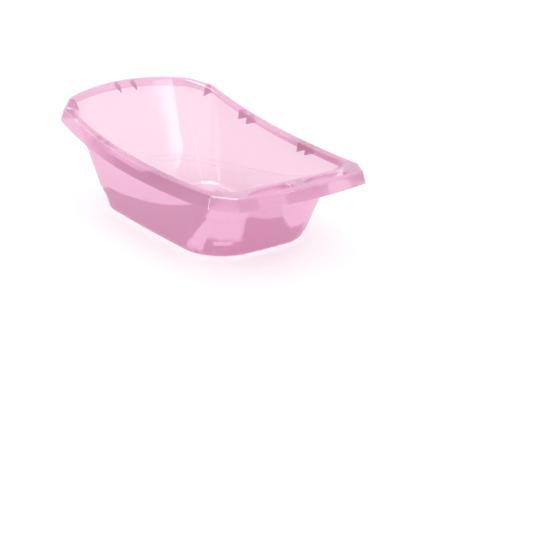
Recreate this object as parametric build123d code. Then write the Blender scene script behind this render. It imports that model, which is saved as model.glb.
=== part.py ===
from build123d import *
import math
import os

os.makedirs("parts", exist_ok=True)

# Baby bathtub: one thin translucent moulding and the soft stopper of its drain.
# X runs along the tub with the foot end at +X, Y runs across it, Z is up.
# The origin is the middle of the footprint, on the surface that the tub stands on.

# ---- rim ----
HEAD_X = 403.0            # half length of the rim's top edge, at both ends
HEAD_Y = 182.0            # half width of the head end, where its corner panels begin
SHOULDER_X = 316.0        # where the head corner panels meet the long sides
SHOULDER_Y = 226.0
HIP_X = 323.0             # where the foot corner panels meet the long sides
HIP_Y = 211.0
HEAD_CORNER_X = 364.0
FOOT_CORNER_X = 380.0
FOOT_Y = 179.0
RIM_HEAD_Z = 273.0        # rim height at the head end
RIM_LOW_Z = 200.5         # lowest point of the rim
RIM_LOW_X = 120.0
RIM_FOOT_Z = 213.0        # rim height at the foot end
SKIRT = 31.0              # height of the turned-down edge
FLARE = 0.26              # how far the skirt flares out, per mm of height
TOP_ROUND = 7.0
MOUTH_ROUND = 5.0
SHEET = 2.4               # thickness of the moulding
RIB_SHEET = 2.0
RIB_DEEP = 26.0           # how far the gussets reach down along the sides and at the corners
RIB_SHALLOW = 17.0        # and in the middle of both ends
RECESS_Z = 203.0          # floor of the two soap rests in the foot end of the rim

# ---- basin ----
FLOOR_Z = 5.0             # underside of the floor
BASE_HEAD_X = 236.0
BASE_FOOT_X = 248.0
BASE_HEAD_Y = 168.0
BASE_FOOT_Y = 158.0
HEAD_LEAN = 0.522         # how far each wall leans out, per mm of height
FOOT_LEAN = 0.405
SIDE_LEAN = 0.155
HEAD_BOW = 12.0           # how far each wall bows out in plan
FOOT_BOW = 8.0
SIDE_BOW = 7.0
HEAD_CORNER = (66.0, 100.0)        # plan radius of the corners at the base and at LOFT_TOP
FOOT_CORNER = (112.0, 14.0)        # the foot corners keep the first radius up to WAIST
WAIST = 120.0
LOFT_TOP = 300.0
BASE_ROUND = 14.0
STEP = 2.2                # each of the two small steps in the wall

# ---- drain ----
DRAIN_X = 178.0
DRAIN_R = 18.0
CLEAR = 0.3
TAB_H = 22.0
TAB_SHEET = 5.0


def arc(p, q, bulge):
    """Arc from p to q that bulges to the right of the way it runs by bulge."""
    mx, my = (p[0] + q[0]) / 2, (p[1] + q[1]) / 2
    dx, dy = q[0] - p[0], q[1] - p[1]
    n = math.hypot(dx, dy)
    return ThreePointArc(p, (mx + dy / n * bulge, my - dx / n * bulge), q)


def rim_outline(z, inset=0.0):
    """Plan outline of the skirt's outer face at height z, as one closed face."""
    # The skirt flares by FLARE, so the same outline grows as z goes down.
    head = -HEAD_X + FLARE * (z - RIM_HEAD_Z) + inset
    foot = HEAD_X - FLARE * (z - RIM_FOOT_Z) - inset
    hc = -HEAD_CORNER_X + FLARE * (z - 262) + inset
    fc = FOOT_CORNER_X - FLARE * (z - RIM_FOOT_Z) - inset
    hy = HEAD_Y - FLARE * (z - 262) * 0.5 - inset * 0.62
    fy = FOOT_Y - FLARE * (z - RIM_FOOT_Z) * 0.6 - inset * 0.62
    sx = -SHOULDER_X + FLARE * (z - 250) * 0.4 + inset * 0.35
    sy = SHOULDER_Y - FLARE * (z - 248) - inset
    px = HIP_X - FLARE * (z - 210) * 0.5 - inset * 0.35
    py = HIP_Y - FLARE * (z - 210) - inset
    with BuildSketch(Plane.XY.offset(z)) as s:
        with BuildLine():
            arc((hc, hy), (hc, -hy), abs(hc - head))
            Line((hc, -hy), (sx, -sy))
            arc((sx, -sy), (px, -py), 4.0)
            Line((px, -py), (fc, -fy))
            arc((fc, -fy), (fc, fy), foot - fc)
            Line((fc, fy), (px, py))
            arc((px, py), (sx, sy), 4.0)
            Line((sx, sy), (hc, hy))
        make_face()
        fillet(s.vertices(), 12)
    return s.sketch


def basin_outline(z, inset=0.0):
    """Plan outline of the basin's wall at height z."""
    head_k = z / LOFT_TOP
    foot_k = max(0, z - WAIST) / (LOFT_TOP - WAIST)
    head = -(BASE_HEAD_X + HEAD_LEAN * z) + inset
    foot = BASE_FOOT_X + FOOT_LEAN * z - inset
    hy = BASE_HEAD_Y + SIDE_LEAN * z - inset
    fy = BASE_FOOT_Y + SIDE_LEAN * z - inset
    hr = HEAD_CORNER[0] + (HEAD_CORNER[1] - HEAD_CORNER[0]) * head_k - inset
    fr = FOOT_CORNER[0] + (FOOT_CORNER[1] - FOOT_CORNER[0]) * foot_k - inset
    hx = head + HEAD_BOW
    fx = foot - FOOT_BOW
    with BuildSketch(Plane.XY.offset(z)) as s:
        with BuildLine():
            arc((hx, hy), (hx, -hy), HEAD_BOW)
            arc((hx, -hy), (fx, -fy), SIDE_BOW)
            arc((fx, -fy), (fx, fy), FOOT_BOW)
            arc((fx, fy), (hx, hy), SIDE_BOW)
        make_face()
        fillet(s.vertices().sort_by(Axis.X)[:2], hr)
        fillet(s.vertices().sort_by(Axis.X)[-2:], fr)
    return s.sketch


def basin_solid(low, inset):
    return loft([basin_outline(z, inset) for z in (low, WAIST, LOFT_TOP)], ruled=True)


def rim_height(x):
    if x < RIM_LOW_X:
        u = (RIM_LOW_X - x) / (RIM_LOW_X + HEAD_X)
        return RIM_LOW_Z + (RIM_HEAD_Z - RIM_LOW_Z) * u ** 2.4
    u = (x - RIM_LOW_X) / (HEAD_X - RIM_LOW_X)
    return RIM_LOW_Z + (RIM_FOOT_Z - RIM_LOW_Z) * u ** 2


def below_saddle(drop):
    """Everything under the rim's saddle-shaped surface, lowered by drop."""
    xs = [-440, -403, -340, -270, -200, -110, 0, 120, 220, 320, 403, 440]
    with BuildSketch(Plane.XZ.offset(-300)) as s:
        with BuildLine():
            Spline([(x, rim_height(x) - drop) for x in xs])
            Polyline((440, rim_height(440) - drop), (440, -20), (-440, -20), (-440, rim_height(-440) - drop))
        make_face()
    return extrude(s.sketch, amount=600)


def above(head_mid, head_side, side, foot):
    """Everything above one of the two step lines that run round the wall.

    The line arches over the head end from head_side up to head_mid, and runs along
    both long sides through the points of side. foot, where given, is the lowest
    point of the smile that the line makes on the foot end.
    """
    with BuildSketch(Plane.YZ.offset(-440)) as h:
        with BuildLine():
            ThreePointArc((-165, head_side), (0, head_mid), (165, head_side))
            Polyline((165, head_side), (260, head_side), (260, 330), (-260, 330), (-260, head_side), (-165, head_side))
        make_face()
    start = side[0][0]
    region = extrude(h.sketch, amount=440 + start)
    with BuildSketch(Plane.XZ.offset(-260)) as w:
        with BuildLine():
            Spline(side)
            Polyline(side[-1], (440, side[-1][1]), (440, 330), (start, 330), side[0])
        make_face()
    region += extrude(w.sketch, amount=520)
    if foot:
        with BuildSketch(Plane.YZ.offset(250)) as f:
            with BuildLine():
                ThreePointArc((-142, 185), (0, foot), (142, 185))
                Line((142, 185), (-142, 185))
            make_face()
        region += extrude(f.sketch, amount=190)
    return region


LINE_LOW = dict(head_mid=74, head_side=51, side=[(-215, 51), (-60, 40), (100, 31), (236, 28)], foot=None)
LINE_HIGH = dict(head_mid=86, head_side=63, side=[(-215, 63), (-20, 89), (160, 129), (262, 168)], foot=104)


def basin(low, inset, rounding, rise):
    """The basin as a full body: its lower wall and the two stepped bands above it."""
    body = basin_solid(low, inset)
    body = fillet(body.faces().sort_by(Axis.Z)[0].edges(), rounding)
    for n, line in enumerate((LINE_LOW, LINE_HIGH)):
        wider = basin_solid(low, inset - STEP * (n + 1))
        body += wider & above(**line).moved(Location((0, 0, rise)))
    return body


def recess_outline(side, z, grow):
    with BuildSketch(Plane.XY.offset(z)) as s:
        with BuildLine():
            ThreePointArc((384 + grow, side * 14), (382 + grow, side * 84), (373 + grow, side * (150 + grow)))
            ThreePointArc((373 + grow, side * (150 + grow)), (349 - grow, side * 84), (364 - grow, side * 14))
            Line((364 - grow, side * 14), (384 + grow, side * 14))
        make_face()
        fillet(s.vertices(), 6)
    return s.sketch


def recess(side, grow=0.0, floor_z=RECESS_Z):
    """One of the two long shallow soap rests sunk into the foot end of the rim."""
    return loft([recess_outline(side, floor_z, grow), recess_outline(side, floor_z + 16, grow + 3)], ruled=True)


def rib(x, y, angle, length=120):
    """One thin gusset under the flange, from the wall to the skirt."""
    return Location((x, y, 240), (0, 0, angle)) * Box(length, RIB_SHEET, 200)


# ---- tub shell ----
basin_tall = basin(FLOOR_Z, 0.0, BASE_ROUND, 0.0)
basin_in = basin(FLOOR_Z + SHEET, SHEET + 0.2, BASE_ROUND - SHEET, SHEET)
skirt_floor = below_saddle(SKIRT)

# The rim and the basin as full bodies, then the inside taken out of both.
shell = (loft([rim_outline(150), rim_outline(290)], ruled=True) & below_saddle(0)).solids()[0]
top = shell.faces().sort_by(Axis.Z)[-1]
shell = shell.fillet(TOP_ROUND, top.outer_wire().edges())
shell = (shell - skirt_floor) + (basin_tall & below_saddle(SKIRT - 6))
shell = (shell - basin_in).solids()[0]
top = shell.faces().filter_by(lambda f: f.normal_at().Z > 0.5 and f.center().Z > 150).sort_by(SortBy.AREA)[-1]
shell = shell.fillet(MOUTH_ROUND, top.inner_wires()[0].edges())

# The gussets under the flange: in pairs along the sides, at both ends and at the corners.
RIB_X = (-161, -125, 100, 133)
ribs = []
end_ribs = []
for side in (1, -1):
    for x in RIB_X:
        ribs.append(rib(x, side * 225, 90))
    end_ribs.append(rib(-HEAD_X, side * 24, 0))
    end_ribs.append(rib(HEAD_X, side * 22, 0, length=150))
    ribs.append(rib(-318, side * 224, side * 110, length=70))
    ribs.append(rib(-362, side * 184, side * 148, length=70))
    ribs.append(rib(322, side * 210, side * 74, length=70))
    ribs.append(rib(381, side * 178, side * 40, length=90))

# The room under the flange, between the skirt and the wall, which the gussets divide.
room = (loft([rim_outline(150, SHEET), rim_outline(290, SHEET)], ruled=True) & below_saddle(SHEET)).solids()[0]
room = room.fillet(TOP_ROUND - SHEET, room.faces().sort_by(Axis.Z)[-1].outer_wire().edges())
room = room - skirt_floor - basin_tall
room = room - ((Part() + ribs) - below_saddle(RIB_DEEP))
room = room - ((Part() + end_ribs) - below_saddle(RIB_SHALLOW))
for side in (1, -1):
    room -= recess(side, SHEET, RECESS_Z - SHEET)
shell = shell - room
for side in (1, -1):
    shell = shell - recess(side)

# The foot ring that the tub stands on, and the drain's moulded seat.
ring_out = extrude(basin_outline(0, 24), amount=FLOOR_Z + 0.5)
ring_in = extrude(basin_outline(0, 24 + SHEET), amount=FLOOR_Z + 0.5)
shell += ring_out - ring_in
drain = Location((DRAIN_X, 0, 0))
floor_top = FLOOR_Z + SHEET
shell += drain * Location((0, 0, (1 + floor_top) / 2)) * Cylinder(DRAIN_R + 4.5, floor_top - 1)
hole_h = floor_top + 4
shell -= drain * Location((0, 0, hole_h / 2)) * Cone(DRAIN_R, DRAIN_R + hole_h * 0.12, hole_h)

# The tub mirrors onto itself across Y, so its other half is a mirrored copy of one half.
half = shell & (Location((0, 250, 150)) * Box(1000, 500, 400))
half = half.solids().sort_by(SortBy.VOLUME)[-1]
shell = half + mirror(half, Plane.XZ)

# ---- drain plug ----
# A soft stopper: a tapered, hollow shank, a thin brim and a pull tab.
low, brim_z = 1.5, floor_top + CLEAR
shank_r = DRAIN_R + 0.12 * low - CLEAR
shank = Location((0, 0, (low + brim_z) / 2)) * Cone(shank_r, shank_r + 0.12 * (brim_z - low), brim_z - low)
shank -= Location((0, 0, low)) * Cylinder(shank_r - 3.5, 8)
brim = Location((0, 0, brim_z + 1.4)) * Cylinder(DRAIN_R + 7, 2.8)
brim = fillet(brim.edges().sort_by(Axis.Z)[-1], 1.3)
with BuildSketch(Plane.XZ) as tab_face:
    SlotCenterToCenter(TAB_H - 14, 14, rotation=90)
tab = Location((0, 0, brim_z + 2 + TAB_H / 2 - 2)) * extrude(tab_face.sketch, amount=TAB_SHEET / 2, both=True)
tab = fillet(tab.edges().filter_by(GeomType.CIRCLE), 1.2)
tab -= Location((0, 0, brim_z + TAB_H - 6.5), (90, 0, 0)) * Cylinder(3.6, 20)
plug = drain * (shank + brim + tab)

shell = shell.solids().sort_by(SortBy.VOLUME)[-1]
plug = plug.solids().sort_by(SortBy.VOLUME)[-1]
shell.label = "tub_shell"
plug.label = "drain_plug"
export_step(shell, "parts/tub_shell.step")
export_step(plug, "parts/drain_plug.step")
for body in (shell, plug):
    box = body.bounding_box()
    print(body.label, round(body.volume), body.is_valid, box.min, box.max)
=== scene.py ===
import math
from types import SimpleNamespace

import bpy
from mathutils import Matrix, Vector


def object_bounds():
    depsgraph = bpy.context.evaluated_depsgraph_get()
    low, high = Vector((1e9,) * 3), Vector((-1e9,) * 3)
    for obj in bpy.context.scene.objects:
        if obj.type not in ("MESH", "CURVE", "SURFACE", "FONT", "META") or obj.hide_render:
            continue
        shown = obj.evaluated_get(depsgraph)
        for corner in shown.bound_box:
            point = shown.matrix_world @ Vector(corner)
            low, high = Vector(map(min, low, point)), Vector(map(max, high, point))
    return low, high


# A translucent pink baby bath on a white studio floor.
# Everything is in metres, in the part's own frame: +X towards the foot end, +Z up.

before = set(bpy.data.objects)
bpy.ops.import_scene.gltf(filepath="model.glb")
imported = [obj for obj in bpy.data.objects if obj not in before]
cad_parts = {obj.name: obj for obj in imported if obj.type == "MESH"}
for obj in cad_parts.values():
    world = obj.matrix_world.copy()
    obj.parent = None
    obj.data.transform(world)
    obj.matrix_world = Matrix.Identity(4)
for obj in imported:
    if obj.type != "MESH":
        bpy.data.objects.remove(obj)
cad_low, cad_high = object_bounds()
centre = (cad_low + cad_high) / 2
scene = bpy.context.scene
scene.view_settings.view_transform = "Standard"

# ---- plastic ----
PINK = (0.93, 0.56, 0.77, 1)          # the moulding's body colour
PINK_PAINTED_SHADE = (0.70, 0.335, 0.52, 1)   # the same, darker: painted shade
# the gussets' colour: a darker copy of the plastic, as painted shade
PINK_GUSSET_SHADE = (0.60, 0.28, 0.45, 1)
CLEAR_PINK = (0.978, 0.910, 0.944, 1)  # what one surface lets through
PLUG_PINK = (0.78, 0.23, 0.45, 1)
PLUG_LIGHT = (0.84, 0.30, 0.52, 1)
BODY_SHARE = 0.22                     # how much of a surface is body colour, seen head on
EDGE_SHARE = 0.34                     # and how much more of it seen edge on
PAINTED_SHADE_SHARE = 0.30                    # and more where shade is painted
SKIRT_SHARE = 0.30                    # and more in the skirt
OUTER_SHARE = 0.18                    # and more on the walls' outside
GUSSET_SHADE_SHARE = 0.72                   # the gussets' share, seen from anywhere; they are painted darker as shade
GLOW_SHARE = 0.45                     # how much of the body colour shines through from behind
HEAD_ON_MIRROR = 0.045                # how much a surface mirrors, seen head on
EDGE_ON_MIRROR = 0.8                  # and how much more, seen edge on
BODY_ROUGHNESS = 0.3
GLOSS_ROUGHNESS = 0.07
RIPPLE_SCALE = 22.0                   # how fine the gloss's ripples are
WOBBLE_SCALE = 14.0                   # how fine the uneven borders of the dense zones are
FLOOR_GREY = (0.6, 0.6, 0.6, 1)
FLOOR_GLOW = 0.45                     # lifts the floor towards the photograph's plain white

# ---- the moulding's features that the looks follow ----
GUSSET_SHEET = 0.002                  # thickness of a gusset
GUSSET_NEAR = 0.0002                  # a face this near a gusset's side is part of it
GUSSET_LEVEL = 0.995                  # and has to face the same way to this cosine
RIM_LOW_X = 0.120                     # the rim's lowest point, and its height there
RIM_LOW_Z = 0.2005
RIM_CLIMB = 0.343                     # how fast it climbs from there
RIM_POWER = 2.4                       # and with which power of the distance
SKIRT = 0.031                         # height of the turned-down edge
SIDE_GUSSETS = (-0.161, -0.125, 0.100, 0.133)  # where they stand along each side
SIDE_LINE_X = -0.020                  # where the sides' step line starts to bend upwards
SIDE_LINE_Z = 0.089                   # its height there
SIDE_LINE_CLIMB = 0.133               # its slope there
SIDE_LINE_BEND = 0.55                 # and how fast it gets steeper
SMILE_LOW = 0.104                     # the lowest point of the step line on the foot end
SMILE_RADIUS = 0.165                  # and the radius of its arc

# ---- camera ----
AZIMUTH = math.radians(53.23)
ELEVATION = math.radians(22.81)
ROLL = math.radians(1.396)
DISTANCE = 3.5617
LENS = 97.06
AIM_RIGHT = 0.1515                    # the aim point lies this far right of the tub's middle
AIM_UP = -0.2366

# ---- the window that lights the head end's wall: its panes' outlines, across and up ----
HEAD_WALL = Vector((-0.30, 0.09, 0.14))
WINDOW_WAY = Vector((0.7637, 0.3891, 0.5150)).normalized()
WINDOW_AWAY = 5.0
UPPER_PANE = ((0.42, 0.40), (0.18, -0.15), (0.04, -0.115), (-0.75, 0.65))
LOWER_PANE = ((0.14, -0.175), (0.06, -0.40), (0.0, -0.38), (0.015, -0.14))

# ---- lights that are seen only as glints: name, place, size, radiance and aim ----
GLINTS = (
    ("wall_stripe_thin", (1.38, -0.61, 1.33), (0.10, 0.30), 3, (-0.27, 0.145, 0.1)),
    ("edge_glints", (-0.3, -0.5, 2.2), (2.4, 1.8), 9, (0, 0, 0.1)),
    ("near_edge", (-2.1, 0.5, 2.1), (0.4, 0.4), 4, (0.1, -0.2, 0.2)),
    ("corner_left", (-0.60, -1.9, 0.20), (0.9, 0.25), 14, (0.35, -0.2, 0.2)),
    ("corner_right", (2.2, -0.7, 0.38), (0.9, 0.35), 14, (0.38, -0.18, 0.2)),
)


# ---- node helpers ----
def new_material(name):
    """A node material, its node tree and its Principled shader."""
    material = bpy.data.materials.new(name)
    material.use_nodes = True
    tree = material.node_tree
    return material, tree, tree.nodes["Principled BSDF"]


def add_node(tree, kind, **values):
    node = tree.nodes.new(kind)
    for key, value in values.items():
        setattr(node, key, value)
    return node


def feed(tree, socket, value):
    """Links value to the socket where it is a socket itself, and sets it where it is a number."""
    if isinstance(value, bpy.types.NodeSocket):
        tree.links.new(value, socket)
    else:
        socket.default_value = value


def math_node(tree, operation, *values):
    node = add_node(tree, "ShaderNodeMath", operation=operation)
    for socket, value in zip(node.inputs, values):
        feed(tree, socket, value)
    return node.outputs[0]


def soft_step(tree, value, low, high):
    """0 where value is below low, 1 above high, smooth between."""
    node = add_node(tree, "ShaderNodeMapRange", interpolation_type="SMOOTHSTEP")
    feed(tree, node.inputs["Value"], value)
    node.inputs["From Min"].default_value = low
    node.inputs["From Max"].default_value = high
    return node.outputs["Result"]


def fade(tree, value, low, high):
    """1 where value is below low, 0 above high, smooth between."""
    return math_node(tree, "SUBTRACT", 1.0, soft_step(tree, value, low, high))


def times(tree, *values):
    """All the values multiplied."""
    product = values[0]
    for value in values[1:]:
        product = math_node(tree, "MULTIPLY", product, value)
    return product


def largest(tree, *values):
    """The largest of the values."""
    top = values[0]
    for value in values[1:]:
        top = math_node(tree, "MAXIMUM", top, value)
    return top


def scaled_sum(tree, value, factor, added):
    """value times factor, plus added."""
    return math_node(tree, "MULTIPLY_ADD", value, factor, added)


def mix_shader(tree, share, first, second):
    node = add_node(tree, "ShaderNodeMixShader")
    feed(tree, node.inputs[0], share)
    tree.links.new(first, node.inputs[1])
    tree.links.new(second, node.inputs[2])
    return node.outputs[0]


def noise(tree, vector, scale, detail=2.0):
    node = add_node(tree, "ShaderNodeTexNoise")
    tree.links.new(vector, node.inputs["Vector"])
    node.inputs["Scale"].default_value = scale
    node.inputs["Detail"].default_value = detail
    return node.outputs["Fac"]


# ---- zones of the moulding where shade is painted ----
# Each is 1 inside its zone and 0 outside. Places are in metres; nx, ny and nz are the parts of the
# surface's normal, so nx near 1 means facing the foot end.
def surface_spot(tree, coords):
    """A point's place, the way its surface faces, and a wobble that makes the zones' borders uneven."""
    place = add_node(tree, "ShaderNodeSeparateXYZ")
    tree.links.new(coords.outputs["Object"], place.inputs[0])
    facing = add_node(tree, "ShaderNodeSeparateXYZ")
    tree.links.new(coords.outputs["Normal"], facing.inputs[0])
    x, y, z = place.outputs
    nx, ny, nz = facing.outputs
    wobble = math_node(tree, "SUBTRACT", noise(tree, coords.outputs["Object"], WOBBLE_SCALE, 4.0), 0.5)
    return SimpleNamespace(x=x, y=y, z=z, nx=nx, ny=ny, nz=nz, wobble=wobble)


def tub_zones(tree, coords):
    """Three masks. Painted shade: where the plastic is darkened to stand for shade. Skirt: the outside of the
    skirt and the flange. Outer: the outside of the walls."""
    spot = surface_spot(tree, coords)
    down = times(tree, spot.nz, -1.0)
    outward = scaled_sum(tree, spot.x, spot.nx, times(tree, spot.y, spot.ny))
    is_out = soft_step(tree, outward, 0.0, 0.02)
    wall = times(tree, soft_step(tree, down, 0.0, 0.05), fade(tree, down, 0.55, 0.8))
    outer = times(tree, wall, is_out)
    inner = times(tree, wall, math_node(tree, "SUBTRACT", 1.0, is_out))
    skirt = times(tree, soft_step(tree, spot.nz, 0.10, 0.2), is_out)

    # painted shade: behind the skirt the walls and its own inner face are darker towards the foot
    along = scaled_sum(tree, spot.wobble, 0.2, spot.x)
    hidden = behind_skirt(tree, spot)
    behind = times(tree, hidden, soft_step(tree, along, -0.10, 0.10))
    inside = times(tree, inner, hidden, soft_step(tree, along, -0.02, 0.08))

    shaded_panels = largest(tree, side_panel_shade(tree, spot), end_panel_shade(tree, spot), behind, wall_foot_shade(tree, spot))
    skirt_shade = times(tree, skirt, skirt_band_shade(tree, spot))
    return largest(tree, times(tree, shaded_panels, outer), inside, skirt_shade), skirt, outer


def side_panel_shade(tree, spot):
    """Painted shade on the sides' flat panel, under a step line that climbs towards the foot, ever faster.
    Towards the head the line is uneven."""
    ahead = math_node(tree, "SUBTRACT", spot.x, SIDE_LINE_X)
    bend = math_node(tree, "POWER", largest(tree, ahead, 0.0), 2.0)
    line = scaled_sum(tree, bend, SIDE_LINE_BEND, scaled_sum(tree, ahead, SIDE_LINE_CLIMB, SIDE_LINE_Z))
    headward = soft_step(tree, times(tree, spot.x, -1.0), 0.0, 0.15)
    ragged = times(tree, spot.wobble, headward)
    under = math_node(tree, "SUBTRACT", line, scaled_sum(tree, ragged, 0.06, spot.z))
    # the painted shade reaches into the rounded corner, further at the top
    sideways = math_node(tree, "ABSOLUTE", spot.ny)
    reach = scaled_sum(tree, spot.z, 2.2, scaled_sum(tree, spot.wobble, 0.10, sideways))
    flat = largest(tree, soft_step(tree, reach, 1.045, 1.075), soft_step(tree, sideways, 0.96, 0.975))
    return times(tree, flat, soft_step(tree, under, -0.001, 0.003))


def end_panel_shade(tree, spot):
    """Painted shade on the foot end's flat panel: darkest under the step line, which hangs in a smile, and
    less above it.
    """
    across = math_node(tree, "SUBTRACT", SMILE_RADIUS ** 2, math_node(tree, "POWER", spot.y, 2.0))
    chord = math_node(tree, "SQRT", largest(tree, across, 0.0))
    smile = math_node(tree, "SUBTRACT", SMILE_LOW + SMILE_RADIUS, chord)
    below = math_node(tree, "SUBTRACT", smile, scaled_sum(tree, spot.wobble, 0.03, spot.z))
    below = largest(tree, soft_step(tree, below, -0.002, 0.004), 0.35)
    end_on = soft_step(tree, scaled_sum(tree, spot.wobble, 0.06, spot.nx), 0.895, 0.915)
    # it stops short on the +Y side, sooner at the top
    far = scaled_sum(tree, spot.wobble, 0.05, scaled_sum(tree, spot.z, 0.75, spot.y))
    return times(tree, end_on, fade(tree, far, 0.092, 0.106), below)


def behind_skirt(tree, spot):
    """1 above the skirt's lower edge, and much less on the two ends."""
    above = math_node(tree, "SUBTRACT", spot.z, skirt_edge(tree, spot.x))
    ahead_on = soft_step(tree, math_node(tree, "ABSOLUTE", spot.nx), 0.6, 0.8)
    return times(tree, soft_step(tree, above, -0.001, 0.004), scaled_sum(tree, ahead_on, -0.75, 0.95))


def wall_foot_shade(tree, spot):
    """Painted shade on the rounded foot of the walls, which reaches higher towards the foot end. In that
    end's corners it leaves a lens unshaded, as a painted highlight."""
    corner = soft_step(tree, spot.nx, 0.48, 0.56)
    height = scaled_sum(tree, spot.wobble, 0.05, scaled_sum(tree, corner, -0.032, spot.z))
    turn = times(tree, soft_step(tree, spot.nx, 0.62, 0.68), fade(tree, spot.nx, 0.82, 0.87))
    # painted highlight: a lens in the foot end's corners kept clear of the shade
    lens = times(tree, turn, soft_step(tree, spot.z, 0.041, 0.044), fade(tree, spot.z, 0.052, 0.056))
    return times(tree, fade(tree, height, 0.018, 0.032), math_node(tree, "SUBTRACT", 1.0, lens))


def skirt_band_shade(tree, spot):
    """The skirt's painted shade: low along both sides and full height towards the foot, and parts of the foot
    end."""
    lift = math_node(tree, "SUBTRACT", spot.z, skirt_edge(tree, spot.x))
    taller = times(tree, soft_step(tree, spot.x, 0.05, 0.12), -0.6 * SKIRT)
    top = math_node(tree, "ADD", scaled_sum(tree, spot.wobble, 0.01, lift), taller)
    low = fade(tree, top, SKIRT * 0.60, SKIRT * 0.75)
    ahead_on = times(tree, math_node(tree, "ABSOLUTE", spot.nx), 2.0)
    sideways = math_node(tree, "SUBTRACT", math_node(tree, "ABSOLUTE", spot.ny), ahead_on)
    footward = soft_step(tree, scaled_sum(tree, spot.wobble, 0.08, spot.x), -0.19, -0.02)
    side = times(tree, soft_step(tree, sideways, 0.1, 0.3), footward, low)

    width = math_node(tree, "ABSOLUTE", scaled_sum(tree, spot.wobble, 0.03, spot.y))
    stretches = largest(tree, fade(tree, width, 0.055, 0.062), soft_step(tree, width, 0.128, 0.134))
    end = times(tree, soft_step(tree, spot.nx, 0.90, 0.92), stretches, 0.45)
    return largest(tree, side, end)


def skirt_edge(tree, x):
    """Height of the skirt's lower edge at x: a saddle with its low point towards the foot."""
    away = math_node(tree, "ABSOLUTE", math_node(tree, "SUBTRACT", x, RIM_LOW_X))
    return scaled_sum(tree, math_node(tree, "POWER", away, RIM_POWER), RIM_CLIMB, RIM_LOW_Z - SKIRT)


# ---- materials ----
def tinted_plastic(name, gusset=False):
    """Glossy tinted plastic: part lets light straight through, part scatters it, and a clear gloss on top."""
    material, tree, shader = new_material(name)
    coords = add_node(tree, "ShaderNodeTexCoord")
    edge = add_node(tree, "ShaderNodeLayerWeight")
    edge.inputs["Blend"].default_value = 0.5
    facing = edge.outputs["Facing"]

    if gusset:
        # the gussets: a darker, less clear copy of the plastic, as painted shade
        tint = PINK_GUSSET_SHADE
        share = GUSSET_SHADE_SHARE
    else:
        # the body colour turns to the darker pink where shade is painted
        painted_shade, skirt, outer = tub_zones(tree, coords)
        tone = add_node(tree, "ShaderNodeMix", data_type="RGBA")
        tone.inputs["A"].default_value = PINK
        tone.inputs["B"].default_value = PINK_PAINTED_SHADE
        tree.links.new(painted_shade, tone.inputs["Factor"])
        tint = tone.outputs["Result"]
        share = scaled_sum(tree, math_node(tree, "POWER", facing, 2.5), EDGE_SHARE, BODY_SHARE)
        share = scaled_sum(tree, painted_shade, PAINTED_SHADE_SHARE, share)
        share = scaled_sum(tree, skirt, SKIRT_SHARE, share)
        share = scaled_sum(tree, outer, OUTER_SHARE, share)

    ripple = add_node(tree, "ShaderNodeBump")
    ripple.inputs["Strength"].default_value = 0.01
    ripple.inputs["Distance"].default_value = 0.002
    tree.links.new(noise(tree, coords.outputs["Object"], RIPPLE_SCALE, 3.0), ripple.inputs["Height"])

    feed(tree, shader.inputs["Base Color"], tint)
    shader.inputs["Roughness"].default_value = BODY_ROUGHNESS
    shader.inputs["Specular IOR Level"].default_value = 0.2
    glow = add_node(tree, "ShaderNodeBsdfTranslucent")
    feed(tree, glow.inputs["Color"], tint)
    body = mix_shader(tree, GLOW_SHARE, shader.outputs[0], glow.outputs[0])

    clear = add_node(tree, "ShaderNodeBsdfTransparent")
    clear.inputs["Color"].default_value = CLEAR_PINK
    seen = mix_shader(tree, share, clear.outputs[0], body)

    gloss = add_node(tree, "ShaderNodeBsdfGlossy")
    gloss.inputs["Roughness"].default_value = GLOSS_ROUGHNESS
    tree.links.new(ripple.outputs["Normal"], gloss.inputs["Normal"])
    mirror = scaled_sum(tree, math_node(tree, "POWER", facing, 5.0), EDGE_ON_MIRROR, HEAD_ON_MIRROR)
    whole = mix_shader(tree, mirror, seen, gloss.outputs[0])
    tree.links.new(whole, tree.nodes["Material Output"].inputs["Surface"])
    return material


def plug_rubber():
    material, tree, shader = new_material("soft_plug")
    coords = add_node(tree, "ShaderNodeTexCoord")
    shader.inputs["Roughness"].default_value = 0.5
    ramp = add_node(tree, "ShaderNodeValToRGB")
    ramp.color_ramp.elements[0].position = 0.3
    ramp.color_ramp.elements[0].color = PLUG_PINK
    ramp.color_ramp.elements[1].position = 0.75
    ramp.color_ramp.elements[1].color = PLUG_LIGHT
    tree.links.new(noise(tree, coords.outputs["Object"], 90.0), ramp.inputs["Fac"])
    tree.links.new(ramp.outputs["Color"], shader.inputs["Base Color"])
    return material


def floor_white():
    material, tree, shader = new_material("floor_white")
    shader.inputs["Base Color"].default_value = FLOOR_GREY
    shader.inputs["Roughness"].default_value = 0.8
    shader.inputs["Specular IOR Level"].default_value = 0.1
    shader.inputs["Emission Color"].default_value = (1, 1, 1, 1)
    shader.inputs["Emission Strength"].default_value = FLOOR_GLOW
    return material


# ---- pieces ----
def gussets():
    """Each gusset under the flange, as its place, the way it runs and its length."""
    for side in (1, -1):
        for x in SIDE_GUSSETS:
            yield x, side * 0.225, 90, 0.12
        yield -0.403, side * 0.024, 0, 0.12
        yield 0.403, side * 0.022, 0, 0.15
        yield -0.318, side * 0.224, side * 110, 0.07
        yield -0.362, side * 0.184, side * 148, 0.07
        yield 0.322, side * 0.210, side * 74, 0.07
        yield 0.381, side * 0.178, side * 40, 0.09


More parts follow.
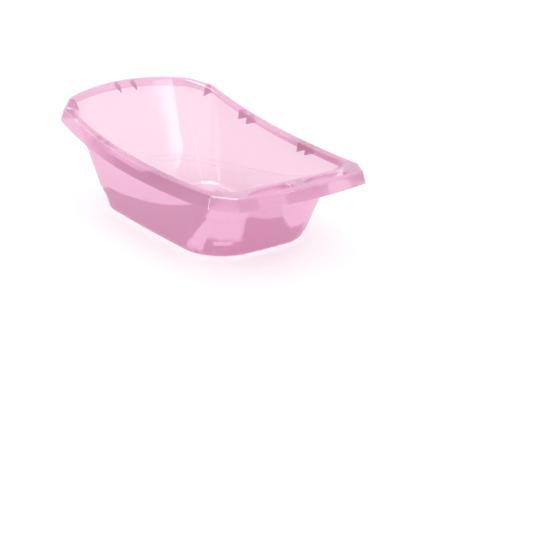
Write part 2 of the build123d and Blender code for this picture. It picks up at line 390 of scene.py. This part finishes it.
def dress_tub():
    """Gives the shell its plastic, and the faces of its gussets a darker copy of it, as painted shade."""
    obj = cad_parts["tub_shell"]
    mesh = obj.data
    mesh.materials.clear()
    mesh.materials.append(tinted_plastic("tinted_plastic"))
    mesh.materials.append(tinted_plastic("gusset_plastic_painted_shade", gusset=True))
    walls = []
    for x, y, angle, length in gussets():
        turn = math.radians(angle)
        along = Vector((math.cos(turn), math.sin(turn), 0))
        walls.append((Vector((x, y, 0)), along, along.cross(Vector((0, 0, 1))), length / 2))
    for face in mesh.polygons:
        face.material_index = 0
        for place, along, normal, reach in walls:
            offset = face.center - place
            level = abs(abs(offset.dot(normal)) - GUSSET_SHEET / 2) < GUSSET_NEAR
            if level and abs(face.normal.dot(normal)) > GUSSET_LEVEL and abs(offset.dot(along)) < reach:
                face.material_index = 1
                break


def dress_plug():
    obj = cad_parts["drain_plug"]
    obj.data.materials.clear()
    obj.data.materials.append(plug_rubber())


# ---- studio ----
def add_floor():
    bpy.ops.mesh.primitive_plane_add(size=30, location=(0, 0, -0.0005))
    floor = bpy.context.object
    floor.name = "floor"
    floor.data.materials.append(floor_white())


def add_softbox(name, place, size, radiance, aim=(0, 0, 0.1), glints_only=False):
    """A rectangular light, as bright as radiance whatever its size. Glints only: it lights nothing."""
    light = bpy.data.lights.new(name, "AREA")
    light.shape = "RECTANGLE"
    light.size, light.size_y = size
    light.energy = radiance * math.pi * size[0] * size[1]
    obj = bpy.data.objects.new(name, light)
    obj.location = place
    obj.rotation_euler = (Vector(aim) - Vector(place)).to_track_quat("-Z", "Y").to_euler()
    obj.visible_camera = False
    obj.visible_diffuse = not glints_only
    obj.visible_transmission = not glints_only
    scene.collection.objects.link(obj)


def add_window(name, outline, radiance):
    """A lit pane far off towards WINDOW_WAY, seen only as the long highlight down the head end's wall."""
    across = Vector((0, 0, 1)).cross(WINDOW_WAY).normalized()
    up = WINDOW_WAY.cross(across)
    middle = HEAD_WALL + WINDOW_WAY * WINDOW_AWAY
    mesh = bpy.data.meshes.new(name)
    mesh.from_pydata([middle + across * u + up * v for u, v in outline], [], [range(len(outline))])
    pane = bpy.data.objects.new(name, mesh)
    material, tree, shader = new_material(name)
    glow = add_node(tree, "ShaderNodeEmission")
    glow.inputs["Strength"].default_value = radiance
    tree.links.new(glow.outputs[0], tree.nodes["Material Output"].inputs["Surface"])
    mesh.materials.append(material)
    scene.collection.objects.link(pane)
    pane.visible_camera = False
    pane.visible_diffuse = False
    pane.visible_transmission = False
    pane.visible_shadow = False


def add_world():
    world = bpy.data.worlds.new("studio")
    world.use_nodes = True
    background = world.node_tree.nodes["Background"]
    background.inputs["Color"].default_value = (1, 1, 1, 1)
    background.inputs["Strength"].default_value = 1.0
    scene.world = world


def add_camera():
    flat = math.cos(ELEVATION)
    back = Vector((math.sin(AZIMUTH) * flat, -math.cos(AZIMUTH) * flat, math.sin(ELEVATION)))
    right = Vector((math.cos(AZIMUTH), math.sin(AZIMUTH), 0))
    up = back.cross(right)
    rolled_right = right * math.cos(ROLL) + up * math.sin(ROLL)
    rolled_up = back.cross(rolled_right)
    data = bpy.data.cameras.new("camera")
    data.lens = LENS
    camera = bpy.data.objects.new("camera", data)
    camera.location = centre + right * AIM_RIGHT + up * AIM_UP + back * DISTANCE
    camera.rotation_euler = Matrix((rolled_right, rolled_up, back)).transposed().to_euler()
    scene.collection.objects.link(camera)
    scene.camera = camera


dress_tub()
dress_plug()
add_floor()
add_world()
add_softbox("top", (-0.2, 0.2, 2.3), (1.6, 1.6), 0.8)
add_window("window_upper", UPPER_PANE, 5.5)
add_window("window_lower", LOWER_PANE, 9)
for name, place, size, radiance, aim in GLINTS:
    add_softbox(name, place, size, radiance, aim, glints_only=True)
add_camera()
